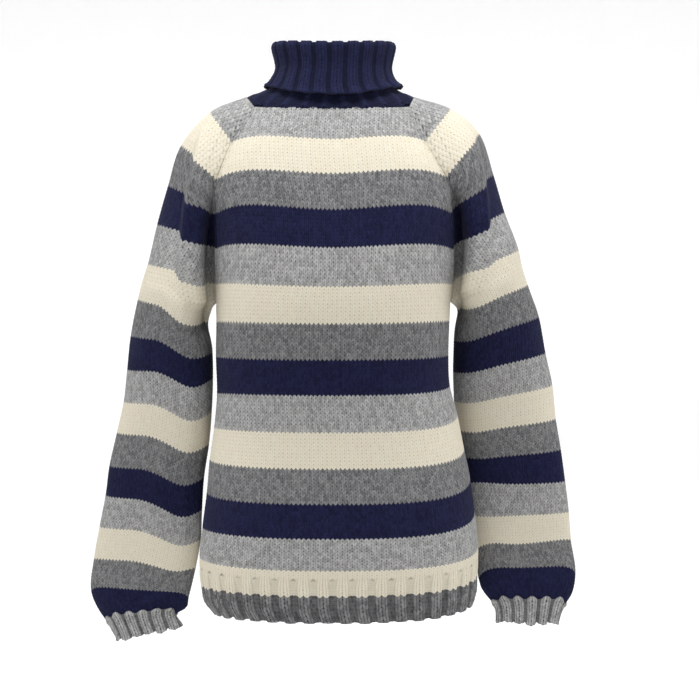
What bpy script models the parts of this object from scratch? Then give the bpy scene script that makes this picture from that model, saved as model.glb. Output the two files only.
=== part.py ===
"""A hand-knitted raglan pullover with a folded roll neck, filled out and hollow.

Sizes are in millimetres and turned into metres when a piece is made. The front faces -Y, +Z is up and
the origin is the middle of the neck at shoulder height. Left and right are the wearer's, so the left
sleeve is at +X. Heights along the cloth are counted in stripes of ten courses, from 0 at the neck seam.
"""

import math

import bmesh
import bpy
import numpy as np

MM = 0.001
WALL = 2.6  # thickness of the knitted cloth
GAP = 0.3  # between two pieces at a seam
ROUNDNESS = 0.82  # power of the body's sections: 1 is an ellipse, less is squarer
UNDERARM = 5.5  # stripe at which the raglan seams end
HEM_RIB = 13.35  # stripe at which the hem's rib starts
HEM_EDGE = 14.65
CUFF_RIB = 16.0  # stripe at which the cuff's rib starts
CUFF_EDGE = 16.8
NECK_EDGE = 0.02  # stripe at which the panels start below the neck seam
NECK_SEAM = 0.8  # how far above the seam line the roll neck starts
SIDE_TRIM = 0.4  # off each course at the side and underarm seams
SAG_NEAR_SEAM = 0.6  # below 1, the courses of a sleeve sag most on their inner half
UNDERARM_STEP = 0.1  # stripes between the underarm point and the courses next to it
STRIPE = 44.5  # height of ten courses
SEAM_STRIPES = GAP / STRIPE  # left free on each side of the seam between cloth and hem rib
CUFF_SEAM = {"right": 0.9 / STRIPE, "left": 0.5 / STRIPE}  # more where the cloth turns in sharply
DENSE = 60  # points on half a course before they are spaced evenly
BODY_COLUMNS = 12  # faces across the front or the back
SLEEVE_COLUMNS = 18
COLLAR_COLUMNS = 32
YOKE_ROWS = 11  # faces down to the underarm
TRUNK_ROWS = 14
ARM_ROWS = 17
HEM_ROWS = 4
CUFF_ROWS = 2


def table(names, *rows):
    """The named columns of a table that has a row for each section."""
    return {name: np.array(values, float) for name, values in zip(names.split(), zip(*rows))}


# The body, a row for each course that is measured: the heights of its middle and of its two sides, how
# much higher the back raglans are, the half widths, the depths in front and behind, and how far from the
# side plane the raglans run.
BODY = table(
    "stripe front_z back_z right_z left_z back_lift right_x left_x front_y back_y front_seam back_seam",
    (0, -16, 6, -12, -12, 16, 109, 107, 62, 66, 34, 38),
    (1, -57, -46, -58, -57, 10, 144, 133, 80, 82, 48, 52),
    (2, -100, -94, -104, -101, 6, 164, 161, 94, 93, 56, 60),
    (3, -144, -140, -146, -146, 3, 158, 163, 104, 99, 56, 58),
    (4, -190, -187, -190, -191, 1, 152, 157, 112, 102, 44, 46),
    (5, -237, -234, -235, -235, 0, 149, 152, 117, 102, 20, 21),
    (5.5, -259, -257, -262, -260, 0, 149, 150, 117, 101, 0, 0),
    (6, -282, -280, -284, -282, 0, 149, 149, 115, 98, 0, 0),
    (7, -326, -324, -328, -326, 0, 150, 148, 108, 90, 0, 0),
    (8, -370, -369, -377, -365, 0, 149, 150, 102, 84, 0, 0),
    (9, -416, -413, -421, -403, 0, 153, 160, 100, 84, 0, 0),
    (10, -461, -457, -461, -447, 0, 159, 169, 102, 90, 0, 0),
    (11, -504, -500, -504, -485, 0, 163, 177, 106, 100, 0, 0),
    (12, -546, -543, -550, -529, 0, 169, 183, 110, 110, 0, 0),
    (13, -585, -584, -588, -573, 0, 173, 188, 112, 116, 0, 0),
    (14, -617, -618, -628, -611, 0, 170, 186, 112, 116, 0, 0),
    (14.4, -637, -638, -651, -634, 0, 165, 185, 112, 115, 0, 0),
    (14.65, -650, -650, -664, -645, 0, 153, 181, 111, 113, 0, 0),
)

# How far the sleeve's edge lies outside the body's along the raglan, and how much shorter each course
# is at the raglan, so that the two walls lie side by side in the crease.
RAGLAN = table(
    "stripe apart trim",
    (0, 0.0, 0.8),
    (1, 0.6, 1.3),
    (2, 2.0, 1.3),
    (3, 3.2, 1.2),
    (4, 3.2, 0.8),
    (5, 3.2, 0.4),
    (5.5, 3.2, 0.3),
)

# A sleeve's outer line from the neck to the cuff, and the pull of the cloth on each half course: how
# far it leaves the seam towards the outer line, how far it bows out beside the seam and outside, and how
# far it sags, or below 0 arches up, between the two.
SLEEVE_HEADINGS = "stripe x y z lead near far sag"
RIGHT_OUTER = table(
    SLEEVE_HEADINGS,
    (0, 111, 4, 4, 0.6, -10, 18, 0),
    (1, 157, 6, -15, 0.5, -2, 35, 0),
    (2, 195, 8, -57, 0.45, 8, 52, 0),
    (3, 213, 12, -108, 0.3, 25, 62, 0),
    (4, 228, 16, -158, 0.1, 45, 72, 0),
    (5, 241, 20, -209, 0, 70, 80, 0),
    (5.5, 249, 22, -233, 0, 84, 84, 1),
    (6, 255, 25, -255, 0, 80, 80, 3),
    (7, 266, 30, -303, 0, 73, 73, 6),
    (8, 272, 34, -348, 0, 67, 67, 8),
    (9, 278, 38, -391, 0, 59, 59, 9),
    (10, 288, 40, -433, 0, 51, 51, 9),
    (11, 299, 42, -478, 0, 42, 42, 8),
    (12, 305, 43, -518, 0, 35, 35, 8),
    (13, 314, 44, -561, 0, 29, 29, 7),
    (14, 322, 44, -605, 0, 25, 25, 2),
    (15, 326, 44, -651, 0, 25, 25, -5),
    (15.6, 317, 43, -673, 0, 26, 26, -7),
    (16, 304, 42, -692, 0, 23, 23, -7),
    (16.8, 290, 40, -714, 0, 22, 22, 0),
)
LEFT_OUTER = table(
    SLEEVE_HEADINGS,
    (0, 104, 4, 4, 0.6, -10, 18, 0),
    (1, 151, 6, -11, 0.5, -2, 35, 0),
    (2, 188, 8, -42, 0.45, 8, 52, 0),
    (3, 207, 12, -94, 0.3, 25, 62, 0),
    (4, 222, 16, -142, 0.1, 45, 72, 0),
    (5, 241, 20, -191, 0, 70, 80, 0),
    (5.5, 246, 22, -213, 0, 84, 84, 0),
    (6, 254, 26, -236, 0, 80, 80, 1),
    (7, 270, 32, -278, 0, 70, 70, 2),
    (8, 280, 36, -326, 0, 62, 62, 3),
    (9, 290, 38, -369, 0, 54, 54, 3),
    (10, 295, 38, -414, 0, 48, 48, 2),
    (11, 302, 36, -455, 0, 41, 41, 0),
    (12, 308, 34, -498, 0, 35, 35, -2),
    (13, 313, 32, -539, 0, 29, 29, -4),
    (14, 316, 30, -578, 0, 25, 25, -5),
    (15, 322, 28, -626, 0, 25, 25, -11),
    (15.6, 317, 28, -650, 0, 26, 26, -9),
    (16, 308, 28, -664, 0, 23, 23, -7),
    (16.8, 298, 28, -689, 0, 22, 22, 0),
)

# The fold in front of each sleeve, where the cloth drops from the shoulder: how deep it is and how far
# out along the half course it lies. The same columns hold for the softer one behind.
SHOULDER_FOLD = table(
    "stripe depth place",
    (0, 0, 0.78),
    (1, 0, 0.78),
    (2, 7, 0.73),
    (3, 10, 0.62),
    (4, 10, 0.57),
    (5, 6, 0.55),
    (6, 3, 0.53),
    (7, 0, 0.5),
    (17, 0, 0.5),
)
FOLD_WIDTH = 0.09  # share of the half course
BACK_FOLD = 0.5  # depth of the fold behind, as a share of the one in front

# A sleeve's inner line, where its underarm seam runs beside the body.
RIGHT_INNER = table(
    "stripe x y z",
    (5.5, 156, 0, -262),
    (6, 163, 8, -284),
    (7, 160, 14, -325),
    (8, 160, 18, -359),
    (9, 162, 20, -403),
    (10, 166, 22, -446),
    (11, 173, 24, -491),
    (12, 176, 25, -534),
    (13, 178, 26, -574),
    (14, 185, 27, -613),
    (15, 195, 28, -655),
    (15.6, 199, 29, -669),
    (16, 212, 30, -677),
    (16.8, 205, 30, -694),
)
LEFT_INNER = table(
    "stripe x y z",
    (5.5, 155, 0, -260),
    (6, 162, 12, -268),
    (7, 161, 30, -310),
    (8, 161, 42, -352),
    (9, 163, 50, -392),
    (10, 166, 54, -430),
    (11, 172, 56, -467),
    (12, 177, 56, -503),
    (13, 184, 54, -547),
    (14, 192, 50, -595),
    (15, 197, 44, -635),
    (15.6, 203, 41, -650),
    (16, 216, 38, -666),
    (16.8, 221, 34, -688),
)

# The roll neck's section, from the neck seam up the inner layer, over the fold and down the outer one:
# half widths, depths in front and behind, and heights in front, at the sides and behind.
COLLAR = table(
    "step right_x left_x front_y back_y front_z side_z back_z",
    (0, 102, 98, 60, 63, -9, 9, 11),
    (1, 92, 88, 57, 60, -2, 10, 14),
    (2, 75, 74, 54, 57, 12, 19, 24),
    (3, 67, 68, 52, 55, 36, 41, 43),
    (4, 71, 73, 56, 57, 59, 66, 66),
    (5, 74, 76, 59, 60, 64, 71, 71),
    (6, 77, 79, 63, 64, 60, 67, 67),
    (7, 72, 74, 60, 62, 37, 42, 44),
    (8, 79, 79, 62, 64, 13, 26, 29),
    (9, 87, 89, 66, 68, 1, 17, 19),
)

COLOURS = {
    "navy wool": (0.012, 0.014, 0.065),
    "light grey wool": (0.38, 0.38, 0.39),
    "dark grey wool": (0.14, 0.145, 0.15),
}
FIBRE_ROUGHNESS = 0.9


def read(rows, name, at, key="stripe"):
    """The column's value at a place between the rows, on a smooth curve through them."""
    places, values = rows[key], rows[name]
    slopes = np.gradient(values, places)
    i = int(np.clip(np.searchsorted(places, at, side="right") - 1, 0, len(places) - 2))
    width = places[i + 1] - places[i]
    t = (at - places[i]) / width
    ease = t * t * (3 - 2 * t)
    start = t * (1 - t) ** 2 * width * slopes[i]
    end = t * t * (t - 1) * width * slopes[i + 1]
    return values[i] * (1 - ease) + values[i + 1] * ease + start + end


def evenly(line, columns, trim_start, trim_end):
    """Points spaced evenly along a line, with a little cut off its ends."""
    steps = np.linalg.norm(np.diff(line, axis=0), axis=1)
    along = np.concatenate([[0], np.cumsum(steps)])
    at = np.linspace(trim_start, along[-1] - trim_end, columns + 1)
    return np.stack([np.interp(at, along, line[:, axis]) for axis in range(3)], axis=1)


def half_body_course(stripe, side, face):
    """Half a course of the body, from its middle to its seam on the side "right" or "left"."""
    depth = read(BODY, face + "_y", stripe)
    middle_z = read(BODY, face + "_z", stripe)
    side_z = read(BODY, side + "_z", stripe)
    if face == "back":
        side_z += read(BODY, "back_lift", stripe)
    side_x = read(BODY, side + "_x", stripe)
    seam = max(0.0, read(BODY, face + "_seam", stripe)) if stripe < UNDERARM else 0.0
    part = np.linspace(0, 1, DENSE + 1)
    angle = part * math.acos((seam / depth) ** (1 / ROUNDNESS))
    out = -1 if side == "right" else 1
    forward = -1 if face == "front" else 1
    x = out * side_x * np.sin(angle) ** ROUNDNESS
    y = forward * depth * np.maximum(np.cos(angle), 0) ** ROUNDNESS
    z = middle_z + (side_z - middle_z) * part**3
    return np.stack([x, y, z], axis=1)


def body_course(stripe, face, columns):
    """A course of the front or back, from the wearer's right seam to the left one."""
    right = half_body_course(stripe, "right", face)[::-1]
    left = half_body_course(stripe, "left", face)[1:]
    trim = read(RAGLAN, "trim", stripe) if stripe < UNDERARM else SIDE_TRIM
    return evenly(np.concatenate([right, left]), columns, trim, trim)


def line_point(rows, stripe, out):
    """A point of a sleeve's outer or inner line, on the side that out gives."""
    return np.array([out * read(rows, "x", stripe), read(rows, "y", stripe), read(rows, "z", stripe)])


def half_sleeve_course(stripe, side, face):
    """Half a course of a sleeve, from its seam to its outer line, as one soft bow."""
    outer, inner = (RIGHT_OUTER, RIGHT_INNER) if side == "right" else (LEFT_OUTER, LEFT_INNER)
    out = -1 if side == "right" else 1
    forward = -1 if face == "front" else 1
    if stripe < UNDERARM:
        seam = half_body_course(stripe, side, face)[-1]
        seam[0] += out * read(RAGLAN, "apart", stripe)
    else:
        seam = line_point(inner, stripe, out)
    apex = line_point(outer, stripe, out)
    towards = (apex - seam) * (1, 0, 1)
    first = seam + read(outer, "lead", stripe) * towards + (0, forward * read(outer, "near", stripe), 0)
    second = apex + (0, forward * read(outer, "far", stripe), 0)
    part = np.linspace(0, 1, DENSE + 1)
    t = part[:, None]
    line = (1 - t) ** 3 * seam + 3 * t * (1 - t) ** 2 * first + 3 * t**2 * (1 - t) * second + t**3 * apex
    fold = read(SHOULDER_FOLD, "depth", stripe) * (1 if face == "front" else BACK_FOLD)
    off = (part - read(SHOULDER_FOLD, "place", stripe)) / FOLD_WIDTH
    line[:, 1] -= forward * fold * np.exp(-off * off)
    line[:, 2] -= read(outer, "sag", stripe) * np.sin(math.pi * part**SAG_NEAR_SEAM) ** 2
    return line


def sleeve_course(stripe, side, columns):
    """A course of a sleeve, from its front seam over the outer line to its back seam."""
    front = half_sleeve_course(stripe, side, "front")
    back = half_sleeve_course(stripe, side, "back")[::-1][1:]
    trim = read(RAGLAN, "trim", stripe) if stripe < UNDERARM else SIDE_TRIM
    return evenly(np.concatenate([front, back]), columns, trim, trim)


def neck_loop(columns):
    """The neck seam, from the middle of the back round by the wearer's right."""
    halves = (
        half_body_course(0, "right", "back"),
        half_sleeve_course(0, "right", "back"),
        half_sleeve_course(0, "right", "front")[::-1],
        half_body_course(0, "right", "front")[::-1],
        half_body_course(0, "left", "front"),
        half_sleeve_course(0, "left", "front"),
        half_sleeve_course(0, "left", "back")[::-1],
        half_body_course(0, "left", "back")[::-1],
    )
    loop = evenly(np.concatenate(halves), columns, 0, 0)
    return loop + (0, 0, NECK_SEAM)


def collar_ring(step, columns):
    """One ring of the roll neck, from the middle of the back round by the wearer's right."""
    size = {name: read(COLLAR, name, step, "step") for name in COLLAR}
    angle = np.linspace(0, 2 * math.pi, 4 * DENSE + 1)
    across, along = np.sin(angle), np.cos(angle)
    x = -across * np.where(across > 0, size["right_x"], size["left_x"])
    y = along * np.where(along > 0, size["back_y"], size["front_y"])
    z = size["side_z"] + along**2 * (np.where(along > 0, size["back_z"], size["front_z"]) - size["side_z"])
    return evenly(np.stack([x, y, z], axis=1), columns, 0, 0)


def material(name):
    """A wool of one colour."""
    wool = bpy.data.materials.get(name) or bpy.data.materials.new(name)
    wool.use_nodes = True
    shader = wool.node_tree.nodes["Principled BSDF"]
    shader.inputs["Base Color"].default_value = (*COLOURS[name], 1)
    shader.inputs["Roughness"].default_value = FIBRE_ROUGHNESS
    return wool


def cloth(name, wool, courses, tube=False):
    """A wall of cloth through courses with the same number of points, whose ends meet in a tube."""
    rows, columns = len(courses), len(courses[0])
    shape = bmesh.new()
    grid = bmesh.ops.create_grid(shape, x_segments=columns - 1, y_segments=rows - 1, size=0.5)
    for point in grid["verts"]:
        column = round((point.co.x + 0.5) * (columns - 1))
        row = round((point.co.y + 0.5) * (rows - 1))
        point.co = courses[row][column] * MM
    if tube:
        bmesh.ops.remove_doubles(shape, verts=shape.verts[:], dist=GAP * MM / 10)
    mesh = bpy.data.meshes.new(name)
    shape.to_mesh(mesh)
    shape.free()
    mesh.shade_smooth()
    mesh.materials.append(material(wool))
    piece = bpy.data.objects.new(name, mesh)
    pullover.objects.link(piece)
    wall = piece.modifiers.new("wall", "SOLIDIFY")
    wall.thickness = WALL * MM
    wall.offset = 0
    return piece


def courses_between(first, last, steps, course, *facts):
    """Courses from one stripe to another."""
    return [course(stripe, *facts) for stripe in np.linspace(first, last, steps + 1)]


def body_panel(face):
    """The front or the back, down to its rib."""
    yoke = courses_between(NECK_EDGE, UNDERARM - UNDERARM_STEP, YOKE_ROWS, body_course, face, BODY_COLUMNS)
    trunk = courses_between(
        UNDERARM + UNDERARM_STEP, HEM_RIB - SEAM_STRIPES, TRUNK_ROWS, body_course, face, BODY_COLUMNS
    )
    return cloth(face, "light grey wool", yoke + trunk)


def hem_rib(face):
    """The rib under the front or the back."""
    rows = courses_between(HEM_RIB + SEAM_STRIPES, HEM_EDGE, HEM_ROWS, body_course, face, BODY_COLUMNS)
    return cloth("hem_" + face, "dark grey wool", rows)


def sleeve(side):
    """A sleeve, open along its raglan edges and its underarm seam, down to its cuff."""
    cap = courses_between(NECK_EDGE, UNDERARM - UNDERARM_STEP, YOKE_ROWS, sleeve_course, side, SLEEVE_COLUMNS)
    arm = courses_between(
        UNDERARM + UNDERARM_STEP, CUFF_RIB - CUFF_SEAM[side], ARM_ROWS, sleeve_course, side, SLEEVE_COLUMNS
    )
    return cloth("sleeve_" + side, "light grey wool", cap + arm)


def cuff(side):
    """The rib at the end of a sleeve, open along the underarm seam as the sleeve is."""
    start = CUFF_RIB + CUFF_SEAM[side]
    rows = courses_between(start, CUFF_EDGE, CUFF_ROWS, sleeve_course, side, SLEEVE_COLUMNS)
    return cloth("cuff_" + side, "light grey wool", rows)


def roll_neck():
    """The rib tube round the neck, folded down outside itself."""
    rings = [neck_loop(COLLAR_COLUMNS)]
    rings += [collar_ring(step, COLLAR_COLUMNS) for step in COLLAR["step"]]
    return cloth("collar", "navy wool", rings, tube=True)


for old in list(bpy.data.objects):
    bpy.data.objects.remove(old)
pullover = bpy.data.collections.new("pullover")
bpy.context.scene.collection.children.link(pullover)
for face in ("front", "back"):
    body_panel(face)
    hem_rib(face)
for side in ("right", "left"):
    sleeve(side)
    cuff(side)
roll_neck()
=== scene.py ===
"""The looks of a hand-knitted raglan pullover, knitted stitch by stitch.

First come the forms, from the same tables of sections as the model's own, with the folds added. Then the
knitting: a flat piece is a grid with a fixed number of points for each stitch, cut to its outline, given a
wrong side and hung on its form. The wools, the nine pieces and the stage follow. Left and right are the
wearer's. Tables are in millimetres, everything else in metres.
"""

import math
from collections import namedtuple

import bmesh
import bpy
import numpy as np
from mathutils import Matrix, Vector


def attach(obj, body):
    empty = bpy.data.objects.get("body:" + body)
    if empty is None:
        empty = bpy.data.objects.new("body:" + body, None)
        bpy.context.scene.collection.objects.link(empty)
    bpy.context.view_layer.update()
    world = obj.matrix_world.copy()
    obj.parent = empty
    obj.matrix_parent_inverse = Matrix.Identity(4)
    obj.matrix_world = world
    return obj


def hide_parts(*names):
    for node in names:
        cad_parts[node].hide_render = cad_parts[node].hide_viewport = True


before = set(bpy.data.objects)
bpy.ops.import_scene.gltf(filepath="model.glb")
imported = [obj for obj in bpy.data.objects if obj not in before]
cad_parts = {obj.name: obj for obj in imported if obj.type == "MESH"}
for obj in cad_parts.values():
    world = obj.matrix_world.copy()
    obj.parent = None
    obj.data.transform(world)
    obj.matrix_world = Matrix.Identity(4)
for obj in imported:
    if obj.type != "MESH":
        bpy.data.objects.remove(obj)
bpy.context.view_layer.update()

MM = 0.001
WALL = 2.6  # thickness of the cloth without its stitches
STRIPE = 10  # courses
COURSE = 4.45  # height of a course
NET_COLUMNS = 160  # points across the net that a form is read from
DENSE = 60  # points on half a course before they are spaced evenly
CREASE_POINTS = 12  # points from a sleeve's seam to the foot of its crease
SOFTENING = 3  # passes that round a sleeve's creases
ROUNDNESS = 0.82  # power of the body's sections: 1 is an ellipse, less is squarer
SIDE_BEND = 3  # power by which a course of the body bends to the height of its side
RISE_SKEW = 1.3  # above 1, a front course rises most beyond the middle of its half
UNDERARM = 5.5  # stripe at which the raglan seams end
HEM_RIB = 13.35  # stripe at which the hem's rib starts
HEM_TOP = HEM_RIB * STRIPE - 0.5  # the course between two rows of loops that is nearest to it
HEM_EDGE = 14.65
CUFF_RIB = 16.0  # stripe at which the cuff's rib starts
CUFF_EDGE = 16.8
OUTWARD = {"right": -1, "left": 1}
FORWARD = {"front": -1, "back": 1}


def put(name, data):
    """A new object in the scene."""
    made = bpy.data.objects.new(name, data)
    bpy.context.scene.collection.objects.link(made)
    return made


def table(names, *rows):
    """The named columns of a table that has a row for each section."""
    return {name: np.array(values, float) for name, values in zip(names.split(), zip(*rows))}


# The body at each course that is measured: the heights of its middle and of its two sides, how much higher
# the back raglans are, the half widths, the depths in front and behind, how far from the side plane the
# raglans run, and how far each front half course rises between its middle and its side.
BODY = table(
    "stripe front_z back_z right_z left_z back_lift right_x left_x front_y back_y front_seam back_seam rise",
    (0, -16, 6, -12, -12, 16, 109, 107, 62, 66, 34, 38, 0),
    (1, -57, -46, -58, -57, 10, 144, 133, 80, 82, 48, 52, 5),
    (2, -100, -94, -104, -101, 6, 164, 161, 94, 93, 56, 60, 6),
    (3, -144, -140, -146, -146, 3, 158, 163, 104, 99, 56, 58, 7),
    (4, -190, -187, -190, -191, 1, 152, 157, 112, 102, 44, 46, 5),
    (5, -237, -234, -235, -235, 0, 149, 152, 117, 102, 20, 21, 3),
    (5.5, -259, -257, -262, -260, 0, 149, 150, 117, 101, 0, 0, 3),
    (6, -282, -280, -284, -282, 0, 149, 149, 115, 98, 0, 0, 1),
    (7, -326, -324, -328, -326, 0, 150, 148, 108, 90, 0, 0, 0),
    (8, -370, -369, -377, -365, 0, 149, 150, 102, 84, 0, 0, 0),
    (9, -416, -413, -421, -403, 0, 153, 160, 100, 84, 0, 0, 0),
    (10, -461, -457, -461, -447, 0, 159, 169, 102, 90, 0, 0, 0),
    (11, -504, -500, -504, -485, 0, 163, 177, 106, 100, 0, 0, 0),
    (12, -546, -543, -550, -529, 0, 169, 183, 110, 110, 0, 0, 0),
    (13, -585, -584, -588, -573, 0, 173, 188, 112, 116, 0, 0, 0),
    (14, -617, -618, -628, -611, 0, 170, 186, 112, 116, 0, 0, 0),
    (14.4, -637, -638, -651, -634, 0, 165, 185, 112, 115, 0, 0, 0),
    (14.65, -650, -650, -664, -645, 0, 153, 181, 111, 113, 0, 0, 0),
)

# How far the sleeve's edge lies outside the body's along the raglan, and the crease beside it: how far the
# sleeve's cloth runs out, back and up from the seam before it turns to the front.
RAGLAN = table(
    "stripe apart out back right_up left_up",
    (0, 0.0, 0, 0, 0, 0),
    (1, 0.2, 0, 0, 0, 0),
    (2, 0.6, 1, 0, 0, 0),
    (2.5, 1.0, 5, 9, 1, 7),
    (3, 1.3, 12, 26, 1, 13),
    (4, 1.3, 18, 40, 6, 14),
    (4.5, 1.3, 19, 34, 5, 14),
    (5, 1.3, 18, 22, 2, 13),
    (5.25, 1.3, 16, 10, 1, 10),
    (5.5, 1.3, 14, 2, 0, 7),
    (6, 1.3, 8, 0, 0, 2),
    (6.6, 1.3, 0, 0, 0, 0),
    (7, 1.3, 0, 0, 0, 0),
    (17, 1.3, 0, 0, 0, 0),
)
SIDE_TRIM = 0.2  # off each course at the side and underarm seams

# A sleeve's outer line, and the pull of the cloth on each half course.
SLEEVE_HEADINGS = "stripe x y z lead near far"
RIGHT_OUTER = table(
    SLEEVE_HEADINGS,
    (0, 111, 4, 4, 0.6, -10, 18),
    (1, 157, 6, -15, 0.5, -2, 35),
    (2, 195, 8, -57, 0.35, 8, 52),
    (3, 213, 12, -108, -0.1, 25, 62),
    (4, 228, 16, -158, -0.25, 45, 72),
    (5, 241, 20, -209, -0.3, 70, 80),
    (5.5, 249, 22, -233, -0.25, 84, 84),
    (6, 255, 25, -255, -0.12, 80, 80),
    (7, 266, 30, -303, 0, 73, 73),
    (8, 272, 34, -348, 0, 67, 67),
    (9, 278, 38, -391, 0, 59, 59),
    (10, 288, 40, -433, 0, 51, 51),
    (11, 299, 42, -478, 0, 42, 42),
    (12, 305, 43, -518, 0, 35, 35),
    (13, 314, 44, -561, 0, 29, 29),
    (14, 322, 44, -605, 0, 25, 25),
    (15, 326, 44, -651, 0, 25, 25),
    (15.6, 317, 43, -673, 0, 26, 26),
    (16, 304, 42, -692, 0, 23, 23),
    (16.8, 290, 40, -714, 0, 22, 22),
)
LEFT_OUTER = table(
    SLEEVE_HEADINGS,
    (0, 104, 4, 4, 0.6, -10, 18),
    (1, 151, 6, -11, 0.5, -2, 35),
    (2, 188, 8, -42, 0.35, 8, 52),
    (3, 207, 12, -94, -0.1, 25, 62),
    (4, 222, 16, -142, -0.25, 45, 72),
    (5, 241, 20, -191, -0.3, 70, 80),
    (5.5, 246, 22, -213, -0.25, 84, 84),
    (6, 254, 26, -236, -0.12, 80, 80),
    (7, 270, 32, -278, 0, 70, 70),
    (8, 280, 36, -326, 0, 62, 62),
    (9, 290, 38, -369, 0, 54, 54),
    (10, 295, 38, -414, 0, 48, 48),
    (11, 302, 36, -455, 0, 41, 41),
    (12, 308, 34, -498, 0, 35, 35),
    (13, 313, 32, -539, 0, 29, 29),
    (14, 316, 30, -578, 0, 25, 25),
    (15, 322, 28, -626, 0, 25, 25),
    (15.6, 317, 28, -650, 0, 26, 26),
    (16, 308, 28, -664, 0, 23, 23),
    (16.8, 298, 28, -689, 0, 22, 22),
)
RIGHT_INNER = table(
    "stripe x y z",
    (5.5, 156, 0, -262),
    (6, 163, 8, -284),
    (7, 160, 14, -325),
    (8, 160, 18, -359),
    (9, 162, 20, -403),
    (10, 166, 22, -446),
    (11, 173, 24, -491),
    (12, 176, 25, -534),
    (13, 178, 26, -574),
    (14, 185, 27, -613),
    (15, 195, 28, -655),
    (15.6, 199, 29, -669),
    (16, 212, 30, -677),
    (16.8, 205, 30, -694),
)
LEFT_INNER = table(
    "stripe x y z",
    (5.5, 155, 0, -260),
    (6, 162, 12, -268),
    (7, 161, 30, -310),
    (8, 161, 42, -352),
    (9, 163, 50, -392),
    (10, 166, 54, -430),
    (11, 172, 56, -467),
    (12, 177, 56, -503),
    (13, 184, 54, -547),
    (14, 192, 50, -595),
    (15, 197, 44, -635),
    (15.6, 203, 41, -650),
    (16, 216, 38, -666),
    (16.8, 221, 34, -688),
)

# The fold down the front of each sleeve from the shoulder: where it lies along the half course and how
# wide it is, how far the cloth drops back outside it and how far the courses climb across it; then how far
# they dip inside it, and how far they arch as a whole.
FOLD_HEADINGS = "stripe place width back climb dip arch"
RIGHT_FOLD = table(
    FOLD_HEADINGS,
    (0, 0.75, 0.04, 0, 0, 0, 0),
    (1, 0.72, 0.03, 1, 1, 0, 0),
    (2, 0.46, 0.015, 11, 7, 0, 0),
    (3, 0.53, 0.015, 17, 11, -3, 0),
    (4, 0.5, 0.02, 16, 11, 0, 0),
    (5, 0.49, 0.05, 10, 12, 3, 0),
    (6, 0.48, 0.13, 5, 15, 4, 0),
    (7, 0.46, 0.15, 4, 15, 6, 0),
    (9, 0.46, 0.16, 4, 15, 8, 0),
    (11, 0.45, 0.17, 4, 15, 7, 0),
    (13, 0.44, 0.18, 4, 14, 6, 0),
    (14, 0.44, 0.18, 3, 9, 4, 2),
    (15, 0.5, 0.2, 2, 0, 0, 12),
    (16, 0.5, 0.2, 0, 0, 0, 13),
    (16.8, 0.5, 0.2, 0, 0, 0, 3),
)
LEFT_FOLD = table(
    FOLD_HEADINGS,
    (0, 0.75, 0.04, 0, 0, 0, 0),
    (1, 0.74, 0.03, 1, 1, 0, 0),
    (2, 0.68, 0.015, 8, 4, 0, 0),
    (3, 0.66, 0.015, 15, 10, 0, 0),
    (4, 0.575, 0.015, 14, 11, 0, 0),
    (5, 0.52, 0.06, 6, 5, -2, 0),
    (6, 0.47, 0.12, 3, 2, 2, 0),
    (8, 0.45, 0.15, 2, 1, 2, 0),
    (11, 0.45, 0.15, 2, 0, 2, 0),
    (12, 0.45, 0.15, 2, 0, -2, 1),
    (13, 0.42, 0.15, 3, 0, 1, 1),
    (14, 0.42, 0.15, 3, 0, -5, 6),
    (15, 0.40, 0.15, 3, 0, -2, 19),
    (16, 0.4, 0.15, 0, 0, 0, 12),
    (16.8, 0.4, 0.15, 0, 0, 0, 3),
)
FOLD_BEHIND = 0.5  # size of the folds at the back of a sleeve, as a share of those in front
CREST = 0.15  # how far the fold's edge stands out, as a share of the drop outside it
CREST_INSIDE = 0.02  # how far inside the fold the crest lies, along the half course
CREST_WIDTH = 0.03
DIP_PLACE = 0.26  # where the dip inside the fold is deepest
DIP_WIDTH = 0.14
ARCH_POWER = 4  # 2 is a plain arch, more is flatter on top

Sleeve = namedtuple("Sleeve", "outer inner fold")
SLEEVES = {
    "right": Sleeve(RIGHT_OUTER, RIGHT_INNER, RIGHT_FOLD),
    "left": Sleeve(LEFT_OUTER, LEFT_INNER, LEFT_FOLD),
}

# The roll neck's section, from the neck seam up the inner layer, over the fold and down the outer one.
COLLAR = table(
    "step right_x left_x front_y back_y front_z side_z back_z",
    (0, 102, 98, 60, 63, -11, 6, 9),
    (1, 92, 88, 57, 60, -3, 9, 13),
    (2, 75, 74, 54, 57, 12, 19, 24),
    (3, 67, 68, 52, 55, 36, 41, 43),
    (4, 71, 73, 56, 57, 59, 66, 66),
    (5, 74, 76, 59, 60, 64, 71, 71),
    (6, 77, 79, 63, 64, 60, 67, 67),
    (7, 72, 74, 60, 62, 37, 42, 44),
    (8, 79, 79, 62, 64, 13, 26, 29),
    (9, 87, 89, 66, 68, 0, 17, 19),
)
NECK_LAP = 2.5  # how far the roll neck starts below the seam line, over the pieces' edges
NECK_SPREAD = 1.04  # so that it lies outside them
NECK_ROUNDING = 60  # passes that round the corners of the neck where the raglans end
COLLAR_RINGS = 91  # rings measured down the roll neck before they are spaced evenly
COLLAR_LINES = 3  # lines of its form for each course


def read(rows, name, at, key="stripe"):
    """The column's value at a place between the rows, on a smooth curve through them."""
    places, values = rows[key], rows[name]
    slopes = np.gradient(values, places)
    i = int(np.clip(np.searchsorted(places, at, side="right") - 1, 0, len(places) - 2))
    width = places[i + 1] - places[i]
    t = (at - places[i]) / width
    ease = t * t * (3 - 2 * t)
    start = t * (1 - t) ** 2 * width * slopes[i]
    end = t * t * (t - 1) * width * slopes[i + 1]
    return values[i] * (1 - ease) + values[i + 1] * ease + start + end


def read_row(rows, names, at):
    """The values of several columns."""
    return np.array([read(rows, name, at) for name in names.split()])


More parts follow.
